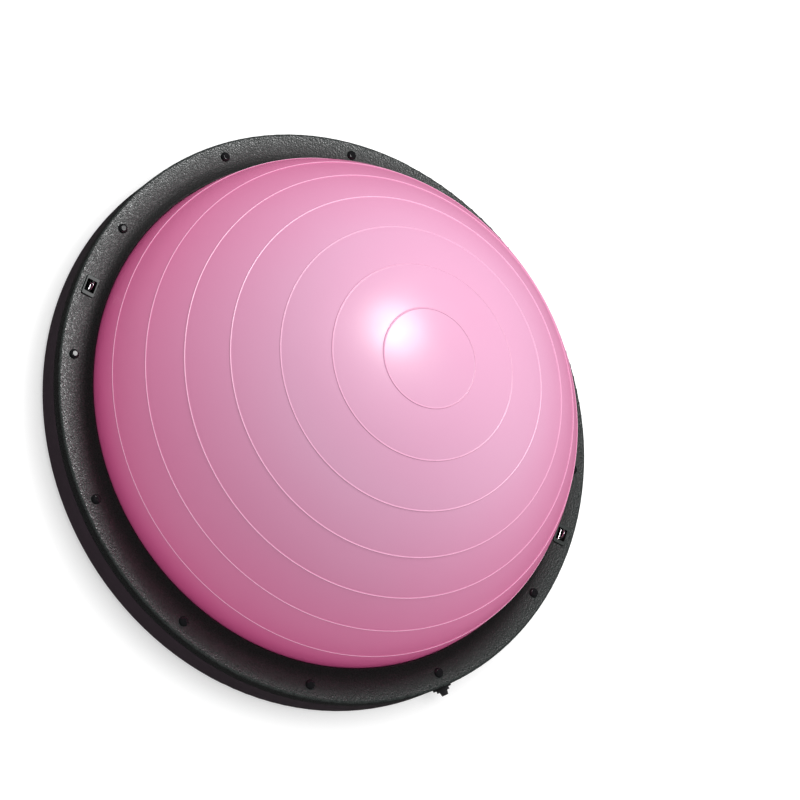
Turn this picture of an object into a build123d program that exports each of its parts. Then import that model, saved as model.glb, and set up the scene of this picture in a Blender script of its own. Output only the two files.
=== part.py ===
from build123d import *

import os
from math import cos, radians, sin, sqrt

# Balance dome trainer: an inflatable rubber dome clamped by a ring onto a round, ribbed base pan.
# Frame: +Z up, origin on the floor under the dome's crown, band anchors on the X axis. Millimetres.

# Driving dimensions
RIM_RADIUS = 290.0  # outside of the clamp ring
FOOT_HEIGHT = 4.0  # the feet lift the pan this far
SIDE_HEIGHT = 43.5  # underside of the pan to the top of the ring
SKIRT_HEIGHT = 12.5  # the part of the side that belongs to the clamp ring
CROWN_RADIUS = 274.5  # arc over the dome's top
SHOULDER_RADIUS = 141.2  # tighter arc down its side
BLEND_ANGLE = 59.0  # where the two arcs meet, in degrees from the axis
BULGE_HEIGHT = 3.85  # the dome is widest this far above the ring
BEAD_CENTRE = 265.5  # bead round the edge of the dome's flange
BEAD = 2.8  # its half thickness
SKIN = 3.0  # wall of the dome
RIB_RADII = (48.8, 96.0, 139.5, 177.9, 209.9, 234.4, 251.0)  # grip ribs round the dome
RIB_BEAD = 0.9  # half thickness of a grip rib
SCREW_COUNT = 12
SCREW_CIRCLE = 275.5  # radius of the circle through the screws and the anchors
SCREW_START = 15.0  # azimuth of the first screw
VALVE_AZIMUTH = -42.5
VALVE_Z = 21.0
GAP = 0.3  # between parts that are only laid together

# Heights and radii that follow
RIM_Z = FOOT_HEIGHT + SIDE_HEIGHT
BLEND_R = CROWN_RADIUS * sin(radians(BLEND_ANGLE))
SHOULDER_R = (CROWN_RADIUS - SHOULDER_RADIUS) * sin(radians(BLEND_ANGLE))
SHOULDER_Z = RIM_Z + BULGE_HEIGHT
CROWN_Z = SHOULDER_Z - (CROWN_RADIUS - SHOULDER_RADIUS) * cos(radians(BLEND_ANGLE))
DOME_RADIUS = SHOULDER_R + SHOULDER_RADIUS  # its widest place
SKIRT_Z = RIM_Z - SKIRT_HEIGHT
RING_PLATE = 4.0
RING_UNDERSIDE = RIM_Z - RING_PLATE
RING_BORE = DOME_RADIUS + 0.8
LIP_Z = RIM_Z + 4.3  # inner lip that closes on the dome
CLAMP_Z = RING_UNDERSIDE - 2.5  # foot of the ring, on the dome's flange
CLAMP_RADIUS = 262.5
FLANGE_Z = CLAMP_Z - SKIN
FLOOR_SHEET = 2.5
SHEET_Z = FLANGE_Z - FLOOR_SHEET
DECK = 3.0
DECK_Z = SHEET_Z - DECK
PAN_FLOOR = 4.0
PAN_TOP = FOOT_HEIGHT + PAN_FLOOR
PAN_RADIUS = RIM_RADIUS - 0.2
PAN_WALL = 3.5
RIB = 3.0
GRIP_CENTRE = 257.0
GRIP_SLOT = (32.0, 116.0)
GRIP_CORNER = 12.0
GRIP_FLANGE = (40.0, 136.0)
GRIP_SCREW_Y = 63.0
GRIP_SCREW = 1.5
FOOT_COUNT = 8
FOOT_START = 22.5
FOOT_CIRCLE = 238.0
FOOT_STEM = 3.9
SCREW_LENGTH = 18.0  # below the ring's underside
PIN_DEPTH = 3.0  # loop pin below the ring's top
POCKET = (10.4, 13.0)  # mouth of an anchor pocket, radial by tangential
CUP_OUT = (POCKET[0] + 2.0, POCKET[1] + 3.4)
CUP_DEPTH = 11.5
WIRE = 1.0  # half thickness of a band loop
LOOP_HALF = 4.7  # half the distance between its legs
VALVE_BARREL = 5.8
VALVE_BORE = 4.0
AIRWAY = 1.5
BARB = 2.8
TUBE = 4.5
ELBOW_RADIUS = 241.0
ELBOW_STEM = 3.5


def dome_height(radius):
    """Height of the dome's outer face at a distance from the axis."""
    if radius < BLEND_R:
        return CROWN_Z + sqrt(CROWN_RADIUS**2 - radius**2)
    return SHOULDER_Z + sqrt(SHOULDER_RADIUS**2 - (radius - SHOULDER_R) ** 2)


def save(piece, name):
    """Label a finished piece and write it as the node of that name."""
    piece.part.label = name
    export_step(piece.part, f"parts/{name}.step")


def ring_of(count, start, radius=SCREW_CIRCLE):
    """Places evenly round the axis, with each local x pointing outwards."""
    return PolarLocations(radius, count, start_angle=start)


def radial_plane(azimuth, radius, height):
    """Level plane at a place round the object, with its x pointing outwards."""
    out = Vector(cos(radians(azimuth)), sin(radians(azimuth)), 0)
    return Plane(origin=out * radius + Vector(0, 0, height), x_dir=out, z_dir=(0, 0, 1))


def outward_plane(azimuth, radius, height):
    """Upright plane that faces outwards at a place round the object."""
    out = Vector(cos(radians(azimuth)), sin(radians(azimuth)), 0)
    side = Vector(-sin(radians(azimuth)), cos(radians(azimuth)), 0)
    return Plane(origin=out * radius + Vector(0, 0, height), x_dir=side, z_dir=out)


os.makedirs("parts", exist_ok=True)

# Dome: a thin rubber shell of two tangent arcs, with a flange and bead under the clamp ring
INNER_R = DOME_RADIUS - SKIN
with BuildPart() as dome_skin:
    with BuildSketch(Plane.XZ):
        with BuildLine():
            turn = 90 - BLEND_ANGLE
            CenterArc((0, CROWN_Z), CROWN_RADIUS, turn, BLEND_ANGLE)
            CenterArc((SHOULDER_R, SHOULDER_Z), SHOULDER_RADIUS, 0, turn)
            Polyline(
                (DOME_RADIUS, SHOULDER_Z),
                (DOME_RADIUS, CLAMP_Z),
                (BEAD_CENTRE, CLAMP_Z),
                (BEAD_CENTRE, FLANGE_Z),
                (INNER_R, FLANGE_Z),
                (INNER_R, SHOULDER_Z),
            )
            CenterArc((SHOULDER_R, SHOULDER_Z), SHOULDER_RADIUS - SKIN, 0, turn)
            CenterArc((0, CROWN_Z), CROWN_RADIUS - SKIN, turn, BLEND_ANGLE)
            Line((0, CROWN_Z + CROWN_RADIUS - SKIN), (0, CROWN_Z + CROWN_RADIUS))
        make_face()
    revolve(axis=Axis.Z)
    with BuildSketch(Plane.XZ):
        with Locations((BEAD_CENTRE, (CLAMP_Z + FLANGE_Z) / 2)):
            Circle(BEAD)
        with Locations(*[(radius, dome_height(radius)) for radius in RIB_RADII]):
            Circle(RIB_BEAD)
    revolve(axis=Axis.Z)
save(dome_skin, "dome_skin")

# Floor of the air chamber, welded under the dome's flange, with a hole for the air fitting
ELBOW_PLANE = radial_plane(VALVE_AZIMUTH, ELBOW_RADIUS, 0)
with BuildPart() as dome_floor:
    with BuildSketch(Plane.XY.offset(SHEET_Z)):
        Circle(CLAMP_RADIUS - 0.5)
    extrude(amount=FLOOR_SHEET)
    with BuildSketch(ELBOW_PLANE.offset(SHEET_Z)):
        Circle(3.7)
    extrude(amount=FLOOR_SHEET, mode=Mode.SUBTRACT)
save(dome_floor, "dome_floor")

# Deck: a stiff disc that carries the chamber's floor over the pan's ribs
with BuildPart() as deck_plate:
    with BuildSketch(Plane.XY.offset(DECK_Z)):
        Circle(CLAMP_RADIUS + 1.5)
    extrude(amount=DECK)
    with BuildSketch(ELBOW_PLANE.offset(DECK_Z)):
        Circle(4.2)
    extrude(amount=DECK, mode=Mode.SUBTRACT)
save(deck_plate, "deck_plate")

# Clamp ring: flat textured top, cove up to the lip round the dome, skirt outside, clamping foot below
EDGE_ROUND = 2.5
COVE_START = 268.5
LIP = 1.5
SKIRT_INSIDE = RIM_RADIUS - 3.6
PARTING = 0.4  # half the groove between the ring's skirt and the pan
SCREW_HOLE = 2.8
with BuildPart() as clamp_ring:
    with BuildSketch(Plane.XZ):
        with BuildLine():
            Polyline(
                (RING_BORE + LIP, LIP_Z),
                (RING_BORE, LIP_Z),
                (RING_BORE, CLAMP_Z),
                (CLAMP_RADIUS, CLAMP_Z),
                (CLAMP_RADIUS, RING_UNDERSIDE),
                (SKIRT_INSIDE, RING_UNDERSIDE),
                (SKIRT_INSIDE, SKIRT_Z + PARTING),
                (RIM_RADIUS, SKIRT_Z + PARTING),
                (RIM_RADIUS, RIM_Z - EDGE_ROUND),
            )
            CenterArc((RIM_RADIUS - EDGE_ROUND, RIM_Z - EDGE_ROUND), EDGE_ROUND, 0, 90)
            Line((RIM_RADIUS - EDGE_ROUND, RIM_Z), (COVE_START, RIM_Z))
            TangentArc((COVE_START, RIM_Z), (RING_BORE + LIP, LIP_Z), tangent=(-1, 0))
        make_face()
    revolve(axis=Axis.Z)
    with BuildSketch(Plane.XY.offset(RING_UNDERSIDE)):
        with ring_of(SCREW_COUNT, SCREW_START):
            Circle(SCREW_HOLE)
        with ring_of(2, 0):
            RectangleRounded(CUP_OUT[0] + 0.4, CUP_OUT[1] + 0.4, 1.4)
    extrude(amount=RING_PLATE, mode=Mode.SUBTRACT)
save(clamp_ring, "clamp_ring")

# Base pan: floor, side wall with a tongue inside the ring's skirt, ribs, screw bosses, grip slots
PAN_ROUND = 4.0
WALL_IN = PAN_RADIUS - PAN_WALL
TONGUE = 3.0  # stands up inside the skirt
TONGUE_IN = SKIRT_INSIDE - GAP - 2.3
HUB = 22.0
RIB_RINGS = (85.0, 170.0, 258.5)
BOSS = 6.0
INSERT_HOLE = 3.2
TREADS = 11
with BuildPart() as base_pan:
    with BuildSketch(Plane.XZ):
        with BuildLine():
            Polyline(
                (PAN_RADIUS - PAN_ROUND, FOOT_HEIGHT),
                (0, FOOT_HEIGHT),
                (0, PAN_TOP),
                (WALL_IN, PAN_TOP),
                (WALL_IN, SKIRT_Z - 6.0),
                (TONGUE_IN, SKIRT_Z - 3.5),
                (TONGUE_IN, SKIRT_Z + TONGUE),
                (SKIRT_INSIDE - GAP, SKIRT_Z + TONGUE),
                (SKIRT_INSIDE - GAP, SKIRT_Z - PARTING),
                (PAN_RADIUS, SKIRT_Z - PARTING),
                (PAN_RADIUS, FOOT_HEIGHT + PAN_ROUND),
            )
            CenterArc((PAN_RADIUS - PAN_ROUND, FOOT_HEIGHT + PAN_ROUND), PAN_ROUND, 270, 90)
        make_face()
    revolve(axis=Axis.Z)
    with BuildSketch(Plane.XY.offset(PAN_TOP)):
        with ring_of(SCREW_COUNT, SCREW_START, radius=(HUB + WALL_IN) / 2):
            Rectangle(WALL_IN - HUB + RIB, RIB)
        for radius in RIB_RINGS:
            Circle(radius + RIB / 2)
            Circle(radius - RIB / 2, mode=Mode.SUBTRACT)
            with ring_of(SCREW_COUNT, SCREW_START, radius=radius):
                Rectangle(2 * RIB, RIB)
        Circle(HUB)
        Circle(HUB - RIB, mode=Mode.SUBTRACT)
    extrude(amount=DECK_Z - PAN_TOP)
    with BuildSketch(Plane.XY.offset(PAN_TOP)):
        with ring_of(SCREW_COUNT, SCREW_START):
            Circle(BOSS)
    extrude(amount=RING_UNDERSIDE - PAN_TOP)
    # blind holes for the screw inserts
    with BuildSketch(Plane.XY.offset(RING_UNDERSIDE)):
        with ring_of(SCREW_COUNT, SCREW_START):
            Circle(INSERT_HOLE)
    extrude(amount=-SCREW_LENGTH, mode=Mode.SUBTRACT)
    # slots for the grip cups, with the screws beside them, and holes for the feet
    with BuildSketch(Plane.XY.offset(FOOT_HEIGHT)):
        with ring_of(2, 90, radius=GRIP_CENTRE):
            RectangleRounded(*GRIP_SLOT, GRIP_CORNER)
    extrude(amount=DECK_Z - FOOT_HEIGHT, mode=Mode.SUBTRACT)
    with BuildSketch(Plane.XY.offset(FOOT_HEIGHT)):
        for side in (90, 270):
            with Locations(radial_plane(side, GRIP_CENTRE, 0).location):
                with Locations((0, GRIP_SCREW_Y), (0, -GRIP_SCREW_Y)):
                    Circle(GRIP_SCREW + 0.1)
        with ring_of(FOOT_COUNT, FOOT_START, radius=FOOT_CIRCLE):
            Circle(FOOT_STEM + 0.1)
    extrude(amount=PAN_FLOOR, mode=Mode.SUBTRACT)
    # holes in the side wall for the valve and in the outer rib for its tube
    with BuildSketch(outward_plane(VALVE_AZIMUTH, PAN_RADIUS + RIB, VALVE_Z)):
        Circle(VALVE_BARREL + GAP)
    extrude(amount=-3 * RIB, mode=Mode.SUBTRACT)
    with BuildSketch(outward_plane(VALVE_AZIMUTH, RIB_RINGS[-1] + RIB, VALVE_Z)):
        Circle(TUBE + 1.0)
    extrude(amount=-2 * RIB, mode=Mode.SUBTRACT)
    # low concentric treads on the underside, for standing on when it is turned over
    with BuildSketch(Plane.XZ):
        with Locations(*[(60.0 + 15.0 * step, FOOT_HEIGHT - 0.3) for step in range(TREADS)]):
            Rectangle(4.0, 1.2)
    revolve(axis=Axis.Z)
save(base_pan, "base_pan")

# Grip cups: soft liners in the two slots, where the fingers go when the trainer is carried
CUP_WALL = 2.5
CUP_TOP = DECK_Z - 1.0
CUP_RIM = 1.5  # the cup's flange stands this proud of the pan
CUP_MOUTH = (GRIP_SLOT[0] - 6.0, GRIP_SLOT[1] - 6.0)
for name, azimuth in (("grip_cup_rear", 90), ("grip_cup_front", 270)):
    with BuildPart() as grip_cup:
        with BuildSketch(radial_plane(azimuth, GRIP_CENTRE, FOOT_HEIGHT)):
            RectangleRounded(GRIP_SLOT[0] - 2 * GAP, GRIP_SLOT[1] - 2 * GAP, GRIP_CORNER - GAP)
        extrude(amount=CUP_TOP - FOOT_HEIGHT)
        fillet(grip_cup.edges().group_by(Axis.Z)[-1], radius=4.0)
        with BuildSketch(radial_plane(azimuth, GRIP_CENTRE, FOOT_HEIGHT)):
            RectangleRounded(*GRIP_FLANGE, 16.0)
        extrude(amount=-CUP_RIM)
        chamfer(grip_cup.edges().group_by(Axis.Z)[0], length=0.8)
        with BuildSketch(radial_plane(azimuth, GRIP_CENTRE, CUP_TOP - CUP_WALL)):
            RectangleRounded(*CUP_MOUTH, GRIP_CORNER - 3.0)
        extrude(amount=-CUP_TOP, mode=Mode.SUBTRACT)
        with BuildSketch(radial_plane(azimuth, GRIP_CENTRE, FOOT_HEIGHT)):
            with Locations((0, GRIP_SCREW_Y), (0, -GRIP_SCREW_Y)):
                Circle(GRIP_SCREW + 0.2)
        extrude(amount=-CUP_RIM, mode=Mode.SUBTRACT)
    save(grip_cup, name)

with BuildPart() as grip_screws:
    for azimuth in (90, 270):
        under = radial_plane(azimuth, GRIP_CENTRE, FOOT_HEIGHT - CUP_RIM)
        with BuildSketch(under):
            with Locations((0, GRIP_SCREW_Y), (0, -GRIP_SCREW_Y)):
                Circle(GRIP_SCREW)
        extrude(amount=6.5)
        with BuildSketch(under):
            with Locations((0, GRIP_SCREW_Y), (0, -GRIP_SCREW_Y)):
                Circle(3.2)
        extrude(amount=-1.4, taper=25)
save(grip_screws, "grip_screws")

# Rubber feet, pushed into the pan's floor
with BuildPart() as rubber_feet:
    with BuildSketch():
        with ring_of(FOOT_COUNT, FOOT_START, radius=FOOT_CIRCLE):
            Circle(12.0)
    extrude(amount=FOOT_HEIGHT)
    chamfer(rubber_feet.edges().group_by(Axis.Z)[0], length=1.0)
    with BuildSketch(Plane.XY.offset(FOOT_HEIGHT)):
        with ring_of(FOOT_COUNT, FOOT_START, radius=FOOT_CIRCLE):
            Circle(FOOT_STEM)
    extrude(amount=PAN_FLOOR + 0.1)
    with BuildSketch(Plane.XY.offset(PAN_TOP + 0.1)):
        with ring_of(FOOT_COUNT, FOOT_START, radius=FOOT_CIRCLE):
            Circle(5.2)
    extrude(amount=3.0, taper=30)
save(rubber_feet, "rubber_feet")

# Domed screws round the ring and the brass inserts that they turn into
SCREW = 2.5
SCREW_HEAD = (4.9, 2.8)  # half width and height
with BuildPart() as rim_screws:
    with BuildSketch(Plane.XY.offset(RIM_Z)):
        with ring_of(SCREW_COUNT, SCREW_START):
            Circle(SCREW_HEAD[0])
    extrude(amount=SCREW_HEAD[1])
    fillet(rim_screws.edges().group_by(Axis.Z)[-1], radius=SCREW_HEAD[1] - 0.2)
    with BuildSketch(Plane.XY.offset(RIM_Z)):
        with ring_of(SCREW_COUNT, SCREW_START):
            Circle(SCREW)
    extrude(amount=-(RING_PLATE + SCREW_LENGTH - 2.0))
save(rim_screws, "rim_screws")

with BuildPart() as screw_inserts:
    with BuildSketch(Plane.XY.offset(RING_UNDERSIDE - 10.5)):
        with ring_of(SCREW_COUNT, SCREW_START):
            Circle(INSERT_HOLE - 0.05)
            Circle(SCREW + 0.05, mode=Mode.SUBTRACT)
    extrude(amount=10.0)
save(screw_inserts, "screw_inserts")

# Band anchors, one each side: a bezel with a pocket, a steel loop on a pin across it, a clip below
PLATE = (13.6, 21.0)
PLATE_PROUD = 1.5
POCKET_FLOOR = 1.5
PIN = 1.25
PIN_HOLE = PIN + 0.05
EYE = 2.4
EYE_HALF = WIRE + 0.2  # the eyes are a little wider than the wire
LEG_FOOT = 1.8 - PIN_DEPTH  # inside the eye
LEG_TOP = 1.5  # above the ring, where the half-round bow begins
for side, azimuth in (("right", 0), ("left", 180)):
    top = radial_plane(azimuth, SCREW_CIRCLE, RIM_Z)
    across = outward_plane(azimuth, SCREW_CIRCLE, RIM_Z)
    pin_end = Plane(origin=across.origin, x_dir=across.z_dir, z_dir=across.x_dir)

    with BuildPart() as anchor_bezel:
        with BuildSketch(top):
            RectangleRounded(*PLATE, 1.6)
        extrude(amount=PLATE_PROUD)
        fillet(anchor_bezel.edges().group_by(Axis.Z)[-1], radius=0.6)
        with BuildSketch(top):
            RectangleRounded(*CUP_OUT, 1.2)
        extrude(amount=-CUP_DEPTH)
        with BuildSketch(top.offset(PLATE_PROUD)):
            RectangleRounded(*POCKET, 1.0)
        extrude(amount=POCKET_FLOOR - PLATE_PROUD - CUP_DEPTH, mode=Mode.SUBTRACT)
        with BuildSketch(pin_end.offset(-CUP_OUT[1])):
            with Locations((0, PIN_DEPTH)):
                Circle(PIN_HOLE)
        extrude(amount=2 * CUP_OUT[1], mode=Mode.SUBTRACT)
    save(anchor_bezel, f"anchor_bezel_{side}")

    with BuildPart() as anchor_pin:
        with BuildSketch(pin_end.offset(-CUP_OUT[1] / 2 + 0.1)):
            with Locations((0, PIN_DEPTH)):
                Circle(PIN)
        extrude(amount=CUP_OUT[1] - 0.2)
    save(anchor_pin, f"anchor_pin_{side}")

    with BuildPart() as anchor_loop:
        with BuildLine(across):
            Line((-LOOP_HALF, LEG_FOOT), (-LOOP_HALF, LEG_TOP))
            CenterArc((0, LEG_TOP), LOOP_HALF, 180, -180)
            Line((LOOP_HALF, LEG_TOP), (LOOP_HALF, LEG_FOOT))
        with BuildSketch(top.offset(LEG_FOOT)):
            with Locations((0, -LOOP_HALF)):
                Circle(WIRE)
        sweep()
        for place in (-LOOP_HALF, LOOP_HALF):
            with BuildSketch(pin_end.offset(place - EYE_HALF)):
                with Locations((0, PIN_DEPTH)):
                    Circle(EYE)
            extrude(amount=2 * EYE_HALF)
        with BuildSketch(pin_end.offset(-2 * LOOP_HALF)):
            with Locations((0, PIN_DEPTH)):
                Circle(PIN_HOLE)
        extrude(amount=4 * LOOP_HALF, mode=Mode.SUBTRACT)
    save(anchor_loop, f"anchor_loop_{side}")

    with BuildPart() as anchor_clip:
        with BuildSketch(top.offset(-RING_PLATE)):
            RectangleRounded(CUP_OUT[0] + 5.0, CUP_OUT[1] + 7.0, 2.0)
            RectangleRounded(CUP_OUT[0] + 0.4, CUP_OUT[1] + 0.4, 1.3, mode=Mode.SUBTRACT)
        extrude(amount=-1.2)
    save(anchor_clip, f"anchor_clip_{side}")

# Inflation valve in the side wall: body, nut, plug, and the tube to an elbow under the chamber
VALVE_FACE = 2.0  # the body's flange stands this proud of the rim
BARREL_END = -10.0
BARB_END = -22.0
BORE_END = -9.0
wall = outward_plane(VALVE_AZIMUTH, RIM_RADIUS, VALVE_Z)
face = wall.offset(VALVE_FACE)
with BuildPart() as valve_body:
    with BuildSketch(face):
        Circle(9.5)
    extrude(amount=0.1 - VALVE_FACE)
    with BuildSketch(face):
        Circle(VALVE_BARREL)
    extrude(amount=BARREL_END - VALVE_FACE)
    with BuildSketch(face):
        Circle(BARB)
    extrude(amount=BARB_END - VALVE_FACE)
    with BuildSketch(face):
        Circle(VALVE_BORE)
    extrude(amount=BORE_END - VALVE_FACE, mode=Mode.SUBTRACT)
    with BuildSketch(face):
        Circle(AIRWAY)
    extrude(amount=BARB_END - VALVE_FACE, mode=Mode.SUBTRACT)
save(valve_body, "valve_body")

with BuildPart() as valve_nut:
    with BuildSketch(wall.offset(-4.3)):
        RegularPolygon(9.0, 6)
        Circle(VALVE_BARREL + 0.07, mode=Mode.SUBTRACT)
    extrude(amount=-4.0)
save(valve_nut, "valve_nut")

with BuildPart() as air_tube:
    with BuildSketch(wall.offset(-12.0)):
        Circle(TUBE)
        Circle(BARB + 0.1, mode=Mode.SUBTRACT)
    extrude(amount=-31.0)
save(air_tube, "air_tube")

with BuildPart() as tube_clips:
    for station in (-18.0, -39.0):
        with BuildSketch(wall.offset(station)):
            Circle(TUBE + 0.8)
            Circle(TUBE + 0.1, mode=Mode.SUBTRACT)
        extrude(amount=3.5)
save(tube_clips, "tube_clips")

ELBOW_REACH = 17.0
ELBOW_HEAD = 1.5
ELBOW_FOOT = VALVE_Z - ELBOW_STEM
elbow_side = outward_plane(VALVE_AZIMUTH, ELBOW_RADIUS, VALVE_Z)
with BuildPart() as elbow_fitting:
    with BuildSketch(ELBOW_PLANE.offset(ELBOW_FOOT)):
        Circle(ELBOW_STEM)
    extrude(amount=FLANGE_Z - ELBOW_FOOT)
    with BuildSketch(ELBOW_PLANE.offset(FLANGE_Z)):
        Circle(8.0)
    extrude(amount=ELBOW_HEAD)
    with BuildSketch(elbow_side):
        Circle(BARB)
    extrude(amount=ELBOW_REACH)
    with BuildSketch(ELBOW_PLANE.offset(VALVE_Z)):
        Circle(AIRWAY)
    extrude(amount=FLANGE_Z + ELBOW_HEAD - VALVE_Z, mode=Mode.SUBTRACT)
    with BuildSketch(elbow_side):
        Circle(AIRWAY)
    extrude(amount=ELBOW_REACH, mode=Mode.SUBTRACT)
save(elbow_fitting, "elbow_fitting")

# The plug's collar rests on the body's flange, its stem fills the bore and its knob is the grip
PLUG_COLLAR = 2.6
with BuildPart() as valve_plug:
    with BuildSketch(face):
        Circle(6.5)
    extrude(amount=PLUG_COLLAR)
    with BuildSketch(face.offset(PLUG_COLLAR)):
        Circle(4.2)
    extrude(amount=4.4, taper=12)
    with BuildSketch(face):
        Circle(VALVE_BORE - 0.05)
    extrude(amount=-10.0)
save(valve_plug, "valve_plug")
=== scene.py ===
import math

import bpy
import numpy as np
from mathutils import Matrix, Vector


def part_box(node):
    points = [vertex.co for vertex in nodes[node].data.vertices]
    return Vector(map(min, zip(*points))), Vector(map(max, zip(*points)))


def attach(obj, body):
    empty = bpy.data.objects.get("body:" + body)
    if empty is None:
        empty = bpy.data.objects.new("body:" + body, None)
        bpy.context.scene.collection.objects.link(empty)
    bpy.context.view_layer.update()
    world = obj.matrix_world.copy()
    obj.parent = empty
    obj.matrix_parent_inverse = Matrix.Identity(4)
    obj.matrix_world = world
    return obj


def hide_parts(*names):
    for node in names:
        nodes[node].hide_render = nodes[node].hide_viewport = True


# Looks of the balance dome trainer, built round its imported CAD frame. Metres, +Z up.

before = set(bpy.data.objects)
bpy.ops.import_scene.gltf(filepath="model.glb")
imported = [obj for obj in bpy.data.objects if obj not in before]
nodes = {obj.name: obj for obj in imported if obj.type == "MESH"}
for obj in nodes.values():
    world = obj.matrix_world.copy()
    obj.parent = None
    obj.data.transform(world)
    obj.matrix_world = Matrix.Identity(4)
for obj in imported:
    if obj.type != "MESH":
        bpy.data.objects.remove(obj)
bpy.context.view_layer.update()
scene = bpy.context.scene
MM = 0.001


# ---------------------------------------------------------------- material tools
class Graph:
    """One material and its node tree, with short calls for the nodes that the finishes use."""

    def __init__(self, name, colour, roughness, metallic=0.0, **sockets):
        self.material = bpy.data.materials.new(name)
        self.material.use_nodes = True
        self.material.diffuse_color = (*colour, 1.0)
        self.tree = self.material.node_tree
        self.shader = self.tree.nodes["Principled BSDF"]
        self.set("Base Color", (*colour, 1.0))
        self.set("Roughness", roughness)
        self.set("Metallic", metallic)
        for socket, value in sockets.items():
            self.set(socket.replace("_", " "), value)
        self.place = None

    def set(self, socket, value):
        self.shader.inputs[socket].default_value = value

    def add(self, kind, **settings):
        made = self.tree.nodes.new(kind)
        for key, value in settings.items():
            setattr(made, key, value)
        return made

    def wire(self, out, into):
        self.tree.links.new(out, into)

    def coords(self):
        if self.place is None:
            self.place = self.add("ShaderNodeTexCoord").outputs["Object"]
        return self.place

    def stretched(self, scale):
        mapping = self.add("ShaderNodeMapping")
        mapping.inputs["Scale"].default_value = scale
        self.wire(self.coords(), mapping.inputs["Vector"])
        return mapping.outputs["Vector"]

    def noise(self, size, detail=2.0, rough=0.5, where=None):
        """Smooth noise whose features are about size metres across, 0 to 1."""
        made = self.add("ShaderNodeTexNoise")
        made.inputs["Scale"].default_value = 1.0 / size
        made.inputs["Detail"].default_value = detail
        made.inputs["Roughness"].default_value = rough
        self.wire(where or self.coords(), made.inputs["Vector"])
        return made.outputs["Fac"]

    def cells(self, size):
        """Distance from the nearest of scattered points about size metres apart."""
        made = self.add("ShaderNodeTexVoronoi", feature="F1")
        made.inputs["Scale"].default_value = 1.0 / size
        self.wire(self.coords(), made.inputs["Vector"])
        return made.outputs["Distance"]

    def sum(self, a, b, operation="ADD"):
        """The two added, or joined by another operation. Each is an output socket or a number."""
        made = self.add("ShaderNodeMath", operation=operation)
        for socket, value in zip(made.inputs, (a, b)):
            if isinstance(value, (int, float)):
                socket.default_value = value
            else:
                self.wire(value, socket)
        return made.outputs["Value"]

    def spread(self, value, low, high, to_low=0.0, to_high=1.0):
        """A value from low to high, mapped to to_low to to_high and held there beyond."""
        made = self.add("ShaderNodeMapRange")
        ends = {"From Min": low, "From Max": high, "To Min": to_low, "To Max": to_high}
        for socket, number in ends.items():
            made.inputs[socket].default_value = number
        self.wire(value, made.inputs["Value"])
        return made.outputs["Result"]

    def colour(self, fac, low, high):
        """Base colour that runs from low at 0 to high at 1."""
        made = self.add("ShaderNodeMix", data_type="RGBA")
        made.inputs["A"].default_value = (*low, 1.0)
        made.inputs["B"].default_value = (*high, 1.0)
        self.wire(fac, made.inputs["Factor"])
        self.wire(made.outputs["Result"], self.shader.inputs["Base Color"])

    def roughness(self, fac, low, high):
        """Roughness that runs from low to high over the middle of a noise."""
        self.wire(self.spread(fac, 0.3, 0.7, low, high), self.shader.inputs["Roughness"])

    def bump(self, height, depth, strength=1.0):
        """Bump of that depth in metres, on top of any bump already there."""
        made = self.add("ShaderNodeBump")
        made.inputs["Distance"].default_value = depth
        made.inputs["Strength"].default_value = strength
        self.wire(height, made.inputs["Height"])
        normal = self.shader.inputs["Normal"]
        if normal.is_linked:
            self.wire(normal.links[0].from_socket, made.inputs["Normal"])
        self.wire(made.outputs["Normal"], normal)


def paint(material, *names):
    """Puts a material on every slot of these CAD nodes."""
    for name in names:
        data = nodes[name].data
        for index in range(len(data.materials)):
            data.materials[index] = material


def shade(colour, share):
    """The same colour, darker or lighter."""
    return tuple(channel * share for channel in colour)


# ---------------------------------------------------------------- finishes
# Rubber: palest at the crown and deepest near the ring. This is partly painted light and shade, with
# the lit crown painted paler and the foot deeper, and partly the skin thinning where it is stretched
# most
PALE_PINK, PINK = (0.575, 0.285, 0.425), (0.65, 0.092, 0.27)
PALE_FROM, PALE_TO = 0.055, 0.225
dome_rubber = Graph("dome_rubber", PINK, 0.37, Specular_IOR_Level=0.95)
height = dome_rubber.add("ShaderNodeSeparateXYZ")
dome_rubber.wire(dome_rubber.coords(), height.inputs["Vector"])
# Painted light and shade: this height mask pales the crown and deepens the foot
crown_light_and_stretch = dome_rubber.spread(height.outputs["Z"], PALE_FROM, PALE_TO)
cloud = dome_rubber.spread(dome_rubber.noise(0.12, 3.0), 0.2, 0.8, -0.04, 0.04)
dome_rubber.colour(dome_rubber.sum(crown_light_and_stretch, cloud), PINK, PALE_PINK)
dome_rubber.roughness(dome_rubber.noise(0.05, 4.0), 0.31, 0.37)
dome_rubber.bump(dome_rubber.noise(1.3 * MM, 2.0), 0.03 * MM)

# The rib tops carry a painted highlight: paler than the skin, and palest low on the dome
RIB_HIGHLIGHT_PINK, LOW_RIB_HIGHLIGHT_PINK = (0.68, 0.33, 0.48), (0.90, 0.54, 0.71)
rib_highlight_rubber = Graph("rib_highlight_rubber", RIB_HIGHLIGHT_PINK, 0.26, Specular_IOR_Level=0.9)
rib_height = rib_highlight_rubber.add("ShaderNodeSeparateXYZ")
rib_highlight_rubber.wire(rib_highlight_rubber.coords(), rib_height.inputs["Vector"])
rib_highlight_rubber.colour(rib_highlight_rubber.spread(rib_height.outputs["Z"], 0.08, 0.21), LOW_RIB_HIGHLIGHT_PINK, RIB_HIGHLIGHT_PINK)
rib_highlight_rubber.roughness(rib_highlight_rubber.noise(0.02, 4.0), 0.22, 0.32)
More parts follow.
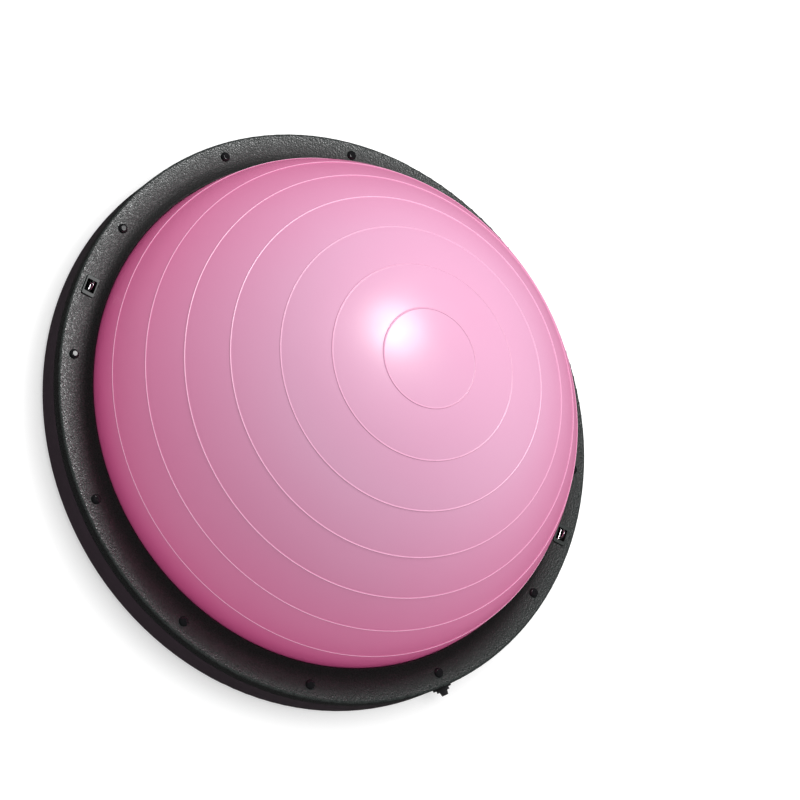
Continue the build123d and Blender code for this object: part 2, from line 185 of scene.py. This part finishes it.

# Ring: a spark texture, glossier towards the outer edge, over a black skirt; painted shade darkens it
# to black in the inner cove beside the dome
GREY, BLACK = (0.029, 0.036, 0.034), (0.004, 0.0055, 0.005)
ring_plastic = Graph("ring_plastic", GREY, 0.36, IOR=1.65, Specular_IOR_Level=1.0)
split = ring_plastic.add("ShaderNodeSeparateXYZ")
ring_plastic.wire(ring_plastic.coords(), split.inputs["Vector"])
flat = ring_plastic.add("ShaderNodeCombineXYZ")
for axis in "XY":
    ring_plastic.wire(split.outputs[axis], flat.inputs[axis])
from_axis = ring_plastic.add("ShaderNodeVectorMath", operation="LENGTH")
ring_plastic.wire(flat.outputs["Vector"], from_axis.inputs[0])
# Painted shade: the colour falls to black towards the dome
dome_shade_fade = ring_plastic.spread(from_axis.outputs["Value"], 0.262, 0.287)
dome_shade_fade = ring_plastic.sum(dome_shade_fade, 1.8, "POWER")
upper = ring_plastic.spread(split.outputs["Z"], 0.0450, 0.0470)
grain = ring_plastic.spread(ring_plastic.noise(1.8 * MM, 3.0, 0.7), 0.35, 0.65, 0.35, 1.5)
grain_and_painted_shade = ring_plastic.sum(ring_plastic.sum(dome_shade_fade, upper, "MULTIPLY"), grain, "MULTIPLY")
ring_plastic.colour(grain_and_painted_shade, BLACK, GREY)
polish = ring_plastic.spread(from_axis.outputs["Value"], 0.257, 0.285, 0.80, 0.37)
speckle = ring_plastic.spread(ring_plastic.noise(1.5 * MM, 2.0, 0.7), 0.35, 0.65, 0.15, -0.15)
ring_plastic.wire(ring_plastic.sum(polish, speckle), ring_plastic.shader.inputs["Roughness"])
ring_plastic.bump(ring_plastic.cells(1.7 * MM), 0.42 * MM, 0.9)
ring_plastic.bump(ring_plastic.noise(0.5 * MM, 2.0), 0.06 * MM, 0.7)

PLUM = (0.030, 0.018, 0.026)
pan_plastic = Graph("pan_plastic", PLUM, 0.38, Specular_IOR_Level=0.45)
pan_plastic.colour(pan_plastic.noise(0.05, 4.0), shade(PLUM, 0.85), shade(PLUM, 1.15))
pan_plastic.roughness(pan_plastic.noise(9 * MM, 5.0), 0.32, 0.44)
pan_plastic.bump(pan_plastic.noise(0.8 * MM, 3.0), 0.02 * MM)

SOOT = (0.020, 0.020, 0.022)
grip_rubber = Graph("grip_rubber", SOOT, 0.7)
grip_rubber.roughness(grip_rubber.noise(6 * MM, 4.0), 0.62, 0.8)
grip_rubber.bump(grip_rubber.noise(0.6 * MM, 3.0), 0.05 * MM)

foot_rubber = Graph("foot_rubber", shade(SOOT, 1.4), 0.8)
foot_rubber.roughness(foot_rubber.noise(4 * MM, 4.0), 0.72, 0.88)
foot_rubber.bump(foot_rubber.noise(0.7 * MM, 3.0), 0.06 * MM)

GLOSS = (0.008, 0.008, 0.009)
gloss_black = Graph("gloss_black", GLOSS, 0.12, Specular_IOR_Level=0.35)
gloss_black.roughness(gloss_black.noise(2.5 * MM, 4.0), 0.09, 0.16)

# Anchor plates: grey on top, with painted shade that makes their edges and the pocket black
PLATE_ROUGH, POCKET_ROUGH = 0.42, 0.8
bezel_plastic = Graph("bezel_plastic", GREY, PLATE_ROUGH, Specular_IOR_Level=0.6)
plate_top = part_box("anchor_bezel_right")[1].z
plate_height = bezel_plastic.add("ShaderNodeSeparateXYZ")
bezel_plastic.wire(bezel_plastic.coords(), plate_height.inputs["Vector"])
# Painted shade: everything below the top face is coloured black
unshaded_plate_top = bezel_plastic.spread(
    plate_height.outputs["Z"], plate_top - 0.35 * MM, plate_top - 0.1 * MM
)
mottle = bezel_plastic.spread(bezel_plastic.noise(1.5 * MM, 3.0), 0.3, 0.7, 0.7, 1.2)
bezel_plastic.colour(bezel_plastic.sum(unshaded_plate_top, mottle, "MULTIPLY"), BLACK, GREY)
plate_rough = bezel_plastic.spread(unshaded_plate_top, 0.0, 1.0, POCKET_ROUGH, PLATE_ROUGH)
bezel_plastic.wire(plate_rough, bezel_plastic.shader.inputs["Roughness"])
bezel_plastic.bump(bezel_plastic.noise(0.5 * MM, 3.0), 0.03 * MM)

STEEL = (0.72, 0.72, 0.73)
loop_steel = Graph("loop_steel", STEEL, 0.2, 1.0)
loop_steel.roughness(loop_steel.noise(0.8 * MM, 5.0, 0.7), 0.15, 0.26)

clip_steel = Graph("clip_steel", shade(STEEL, 0.7), 0.36, 1.0)
brushed = clip_steel.noise(1.5 * MM, 4.0, 0.6, clip_steel.stretched((1, 1, 8)))
clip_steel.roughness(brushed, 0.3, 0.45)

BRASS = (0.62, 0.42, 0.16)
insert_brass = Graph("insert_brass", BRASS, 0.3, 1.0)
insert_brass.roughness(insert_brass.noise(1.5 * MM, 4.0), 0.24, 0.4)

dark_screw = Graph("dark_screw", shade(SOOT, 1.2), 0.35, 0.6)
dark_screw.roughness(dark_screw.noise(1.5 * MM, 4.0), 0.28, 0.42)

valve_plastic = Graph("valve_plastic", shade(SOOT, 0.8), 0.4)
valve_plastic.roughness(valve_plastic.noise(3 * MM, 4.0), 0.34, 0.48)
valve_plastic.bump(valve_plastic.noise(0.5 * MM, 3.0), 0.02 * MM)

plug_rubber = Graph("plug_rubber", shade(SOOT, 1.1), 0.55)
plug_rubber.roughness(plug_rubber.noise(3 * MM, 4.0), 0.48, 0.65)
plug_rubber.bump(plug_rubber.noise(0.5 * MM, 3.0), 0.03 * MM)

inner_rubber = Graph("inner_rubber", shade(SOOT, 1.5), 0.75)
inner_rubber.bump(inner_rubber.noise(0.9 * MM, 3.0), 0.05 * MM)

deck_plastic = Graph("deck_plastic", shade(SOOT, 1.2), 0.5)
deck_plastic.bump(deck_plastic.noise(1.2 * MM, 3.0), 0.04 * MM)

SIDES = ("right", "left")
paint(inner_rubber.material, "dome_floor", "air_tube")
paint(deck_plastic.material, "deck_plate")
paint(ring_plastic.material, "clamp_ring")
paint(pan_plastic.material, "base_pan")
paint(grip_rubber.material, "grip_cup_rear", "grip_cup_front")
paint(dark_screw.material, "grip_screws")
paint(foot_rubber.material, "rubber_feet")
paint(gloss_black.material, "rim_screws")
paint(insert_brass.material, "screw_inserts")
paint(valve_plastic.material, "valve_body", "valve_nut", "elbow_fitting")
paint(plug_rubber.material, "valve_plug")
paint(bezel_plastic.material, *[f"anchor_bezel_{side}" for side in SIDES])
paint(loop_steel.material, *[f"anchor_{part}_{side}" for part in ("pin", "loop") for side in SIDES])
paint(clip_steel.material, "tube_clips", *[f"anchor_clip_{side}" for side in SIDES])


# ---------------------------------------------------------------- dome
CROWN_RADIUS = 0.2745
SHOULDER_RADIUS = 0.1412
BLEND_ANGLE = math.radians(59.0)  # from the axis, where the crown's arc meets the shoulder's
SKIN = 0.003
RIB_RADII = (0.0488, 0.0960, 0.1395, 0.1779, 0.2099, 0.2344, 0.2510)
RIB_HALF = 0.0007  # a rib's height, and half of its width
STEEPEST = 0.2  # the least slope that a rib's width is divided by, low on the dome
BEAD_CENTRE = 0.2655
BEAD_HALF = 0.0028
CORNER = 0.0008  # fillet where the skin meets its flange
AROUND = 384
SHARP = math.radians(50.0)  # edges that turn by more than this stay crisp

skin_low, skin_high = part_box("dome_skin")
flange_low = skin_low.z + BEAD_HALF - SKIN / 2
crown_z = skin_high.z - CROWN_RADIUS
shoulder_r = (CROWN_RADIUS - SHOULDER_RADIUS) * math.sin(BLEND_ANGLE)
shoulder_z = crown_z + (CROWN_RADIUS - SHOULDER_RADIUS) * math.cos(BLEND_ANGLE)
dome_radius = shoulder_r + SHOULDER_RADIUS


def dome_point(angle, inset=0.0):
    """Place on the dome's profile at an angle from the axis, and the way out there, both (r, z)."""
    out = Vector((math.sin(angle), math.cos(angle)))
    if angle < BLEND_ANGLE:
        return Vector((0, crown_z)) + out * (CROWN_RADIUS - inset), out
    return Vector((shoulder_r, shoulder_z)) + out * (SHOULDER_RADIUS - inset), out


def rib_rise(angle):
    """How far the grip ribs stand out of the dome at an angle from the axis."""
    (radius, _), out = dome_point(angle)
    rise = 0.0
    for rib in RIB_RADII:
        along = (radius - rib) / max(out.y, STEEPEST)
        if abs(along) < 2 * RIB_HALF:
            rise = max(rise, RIB_HALF * math.exp(-((along / (0.75 * RIB_HALF)) ** 2)))
    return rise


def lathe(name, profile, materials, second=(), around=AROUND, spots=((0, 0),)):
    """Solids of revolution, one at each spot, from an (r, z) profile that runs from axis to axis.

    The second material goes on the bands that start at the points of the profile listed in second."""
    turns = np.linspace(0, 2 * math.pi, around, endpoint=False)
    between = profile[1:-1]
    last = len(between) - 1
    verts, faces, finish = [], [], []
    for x, y in spots:
        top = len(verts)
        verts += [(x, y, profile[0][1]), (x, y, profile[-1][1])]
        verts += [(x + r * math.cos(t), y + r * math.sin(t), z) for r, z in between for t in turns]
        for i in range(around):
            j = (i + 1) % around
            faces.append((top, top + 2 + i, top + 2 + j))
            for k in range(last):
                a, b = top + 2 + k * around, top + 2 + (k + 1) * around
                faces.append((a + i, b + i, b + j, a + j))
            end = top + 2 + last * around
            faces.append((top + 1, end + j, end + i))
            finish += [0] + [int(k + 1 in second) for k in range(last)] + [0]
    mesh = bpy.data.meshes.new(name)
    mesh.from_pydata(verts, [], faces)
    for material in materials:
        mesh.materials.append(material)
    mesh.polygons.foreach_set("material_index", finish)
    mesh.polygons.foreach_set("use_smooth", [True] * len(faces))
    mesh.set_sharp_from_angle(angle=SHARP)
    made = bpy.data.objects.new(name, mesh)
    scene.collection.objects.link(made)
    return made


# The profile is coarse between the ribs and fine across them
coarse = np.linspace(0, math.pi / 2, 140)
near_ribs = [
    angle
    for rib in RIB_RADII
    for angle in np.linspace(0, math.pi / 2, 6000)
    if abs(dome_point(angle)[0][0] - rib) < 2 * RIB_HALF * max(dome_point(angle)[1].y, STEEPEST)
]
angles = sorted(set(coarse.tolist() + near_ribs[::2]))
outer = [dome_point(a)[0] + dome_point(a)[1] * rib_rise(a) for a in angles]
bead_middle = Vector((BEAD_CENTRE, flange_low + SKIN / 2))
bead_start = math.asin(SKIN / 2 / BEAD_HALF)
bead = [
    bead_middle + Vector((-math.cos(a), math.sin(a))) * BEAD_HALF
    for a in np.linspace(bead_start, 2 * math.pi - bead_start, 21)
]
inner = [dome_point(a, SKIN)[0] for a in coarse[::-2]]
flange_top = flange_low + SKIN
profile = (
    [tuple(p) for p in outer]
    + [(dome_radius, flange_top + CORNER), (dome_radius + 0.75 * CORNER, flange_top)]
    + [tuple(p) for p in bead]
    + [(dome_radius - SKIN, flange_low)]
    + [tuple(p) for p in inner]
    + [(0.0, crown_z + CROWN_RADIUS - SKIN)]
)
middles = [(a + b) / 2 for a, b in zip(angles, angles[1:])]
# Faces on the rib tops, which get the painted highlight
rib_tops = {k for k, angle in enumerate(middles) if rib_rise(angle) > 0.6 * RIB_HALF}
dome = lathe("dome_shell", profile, (dome_rubber.material, rib_highlight_rubber.material), rib_tops)
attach(dome, "base")
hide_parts("dome_skin")


# ---------------------------------------------------------------- feet and hand grips
FOOT_COUNT = 8
FOOT_START = math.radians(22.5)
FOOT_CIRCLE = 0.238
FOOT_RADIUS = 0.012
FOOT_HEIGHT = 0.004
FOOT_STEM = 0.0039
FOOT_GROOVES = (0.0030, 0.0060, 0.0090)  # round grooves in the sole
GROOVE_DEPTH = 0.0008

foot_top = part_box("rubber_feet")[1].z
sole = [(FOOT_RADIUS - 0.8 * MM, 0), (FOOT_RADIUS - 1.4 * MM, 0)]
for groove in reversed(FOOT_GROOVES):
    sole += [(groove + 0.7 * MM, 0), (groove + 0.4 * MM, GROOVE_DEPTH)]
    sole += [(groove - 0.4 * MM, GROOVE_DEPTH), (groove - 0.7 * MM, 0)]
foot_profile = (
    [(0, foot_top), (FOOT_STEM - 0.5 * MM, foot_top), (FOOT_STEM, foot_top - 0.5 * MM)]
    + [(FOOT_STEM, FOOT_HEIGHT), (FOOT_RADIUS - 0.5 * MM, FOOT_HEIGHT)]
    + [(FOOT_RADIUS, FOOT_HEIGHT - 0.5 * MM), (FOOT_RADIUS - 0.2 * MM, 0.7 * MM)]
    + sole
    + [(0, 0)]
)
foot_angles = [FOOT_START + 2 * math.pi * k / FOOT_COUNT for k in range(FOOT_COUNT)]
foot_spots = [(FOOT_CIRCLE * math.cos(a), FOOT_CIRCLE * math.sin(a)) for a in foot_angles]
feet = lathe("foot_pads", foot_profile, (foot_rubber.material,), around=64, spots=foot_spots)
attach(feet, "base")
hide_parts("rubber_feet")

# Upright finger ribs, half sunk in the long walls of each hand grip
GRIP_CENTRE = 0.257
GRIP_HALF_WIDTH = 0.013
FINGER_RIB = 0.0014
FINGER_STEP = 0.008
FINGER_RIBS = 11
RIB_LOW = 0.0055
RIB_BELOW_CUP_TOP = 0.005
rib_wall = GRIP_HALF_WIDTH + FINGER_RIB / 2
cap_angles = [math.radians(a) for a in (22.5, 45, 67.5, 90)]
cap = [(FINGER_RIB * math.sin(a), FINGER_RIB * (1 - math.cos(a))) for a in cap_angles]
for end, side in (("rear", 1), ("front", -1)):
    rib_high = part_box(f"grip_cup_{end}")[1].z - RIB_BELOW_CUP_TOP
    rib_profile = [(0, rib_high)] + [(r, rib_high - z) for r, z in cap]
    rib_profile += [(r, RIB_LOW + z) for r, z in reversed(cap)] + [(0, RIB_LOW)]
    spots = [
        ((k - (FINGER_RIBS - 1) / 2) * FINGER_STEP, side * GRIP_CENTRE + wall * rib_wall)
        for k in range(FINGER_RIBS)
        for wall in (-1, 1)
    ]
    ribs = lathe(f"finger_ribs_{end}", rib_profile, (grip_rubber.material,), around=20, spots=spots)
    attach(ribs, "base")


# ---------------------------------------------------------------- floor, lights, camera
HALF_FLOOR = 9.0
corners = [(x * HALF_FLOOR, y * HALF_FLOOR, 0) for x, y in ((-1, -1), (1, -1), (1, 1), (-1, 1))]
floor_mesh = bpy.data.meshes.new("floor")
floor_mesh.from_pydata(corners, [], [(0, 1, 2, 3)])
floor = bpy.data.objects.new("floor", floor_mesh)
scene.collection.objects.link(floor)
paper = Graph("paper", (0.62, 0.62, 0.62), 0.9, Specular_IOR_Level=0.1)
paper.set("Emission Color", (1.0, 1.0, 1.0, 1.0))
paper.set("Emission Strength", 0.45)
floor_mesh.materials.append(paper.material)
floor.visible_glossy = False

scene.view_settings.view_transform = "Standard"
world = bpy.data.worlds.new("studio")
scene.world = world
world.use_nodes = True
sky = world.node_tree.nodes
seen = sky.new("ShaderNodeLightPath")
sky_links = world.node_tree.links
# The sky's strength for soft light, in reflections, and where it is seen behind the object
SKY_LIGHT, SKY_GLARE, SKY_SEEN = 0.64, 0.045, 0.95
reflected, shown = sky.new("ShaderNodeMix"), sky.new("ShaderNodeMix")
reflected.inputs["A"].default_value = SKY_LIGHT
reflected.inputs["B"].default_value = SKY_GLARE
shown.inputs["B"].default_value = SKY_SEEN
sky_links.new(seen.outputs["Is Glossy Ray"], reflected.inputs["Factor"])
sky_links.new(reflected.outputs["Result"], shown.inputs["A"])
sky_links.new(seen.outputs["Is Camera Ray"], shown.inputs["Factor"])
sky_links.new(shown.outputs["Result"], sky["Background"].inputs["Strength"])
sky["Background"].inputs["Color"].default_value = (1.0, 1.0, 1.0, 1.0)


LIT_POINT = Vector((0, 0, 0.1))  # inside the dome, where every lamp points


def lamp(name, kind, place, power, **settings):
    """A light that stands at a place and faces the lit point. The camera doesn't see it."""
    light = bpy.data.lights.new(name, kind)
    light.energy = power
    for key, value in settings.items():
        setattr(light, key, value)
    made = bpy.data.objects.new(name, light)
    scene.collection.objects.link(made)
    made.location = place
    made.rotation_mode = "QUATERNION"
    made.rotation_quaternion = (made.location - LIT_POINT).to_track_quat("Z", "Y")
    made.visible_camera = False
    return made


# Two broad lights without glare, two near ones for the highlights, and a far one for the screws
BROAD = math.radians(50.0)
overhead = lamp("overhead", "SUN", (0.2, 1.3, 4.0), 1.7, angle=BROAD)
from_right = lamp("from_right", "SUN", (3.0, 1.2, 1.1), 1.0, angle=BROAD)
overhead.visible_glossy = from_right.visible_glossy = False
lamp("key", "AREA", (-0.020, 0.300, 0.80), 1.2, shape="DISK", size=0.20)
lamp("side", "AREA", (0.0, 0.37, 0.82), 0.9, shape="DISK", size=0.24)
lamp("spark", "AREA", (0.055, 1.19, 2.45), 3.0, shape="DISK", size=0.25)

# Camera: a long lens, rolled, looking down on the rim. The aim is off the rim's centre, along the
# picture's own right and up, in shares of the rim's radius
RIM_RADIUS = 0.290
RIM_CENTRE = Vector((0, 0, 0.0475))
AIM_RIGHT, AIM_UP = 0.2333, 0.0460
AZIMUTH, ELEVATION, ROLL = (math.radians(a) for a in (-37.6, 57.87, 61.17))
DISTANCE = 12.545 * RIM_RADIUS
level = Vector((math.cos(AZIMUTH), math.sin(AZIMUTH), 0))
outward = Vector((math.sin(AZIMUTH), -math.cos(AZIMUTH), 0))
back = outward * math.cos(ELEVATION) + Vector((0, 0, math.sin(ELEVATION)))
upright = back.cross(level)
right = math.cos(ROLL) * level + math.sin(ROLL) * upright
up = -math.sin(ROLL) * level + math.cos(ROLL) * upright
aim = RIM_CENTRE + (right * AIM_RIGHT + up * AIM_UP) * RIM_RADIUS
camera = bpy.data.objects.new("camera", bpy.data.cameras.new("camera"))
camera.data.lens = 166.2
camera.data.sensor_width = 36.0
camera.data.clip_start, camera.data.clip_end = 0.05, 60.0
axes = Matrix((right, up, back)).transposed()
camera.matrix_world = Matrix.Translation(aim + back * DISTANCE) @ axes.to_4x4()
scene.collection.objects.link(camera)
scene.camera = camera
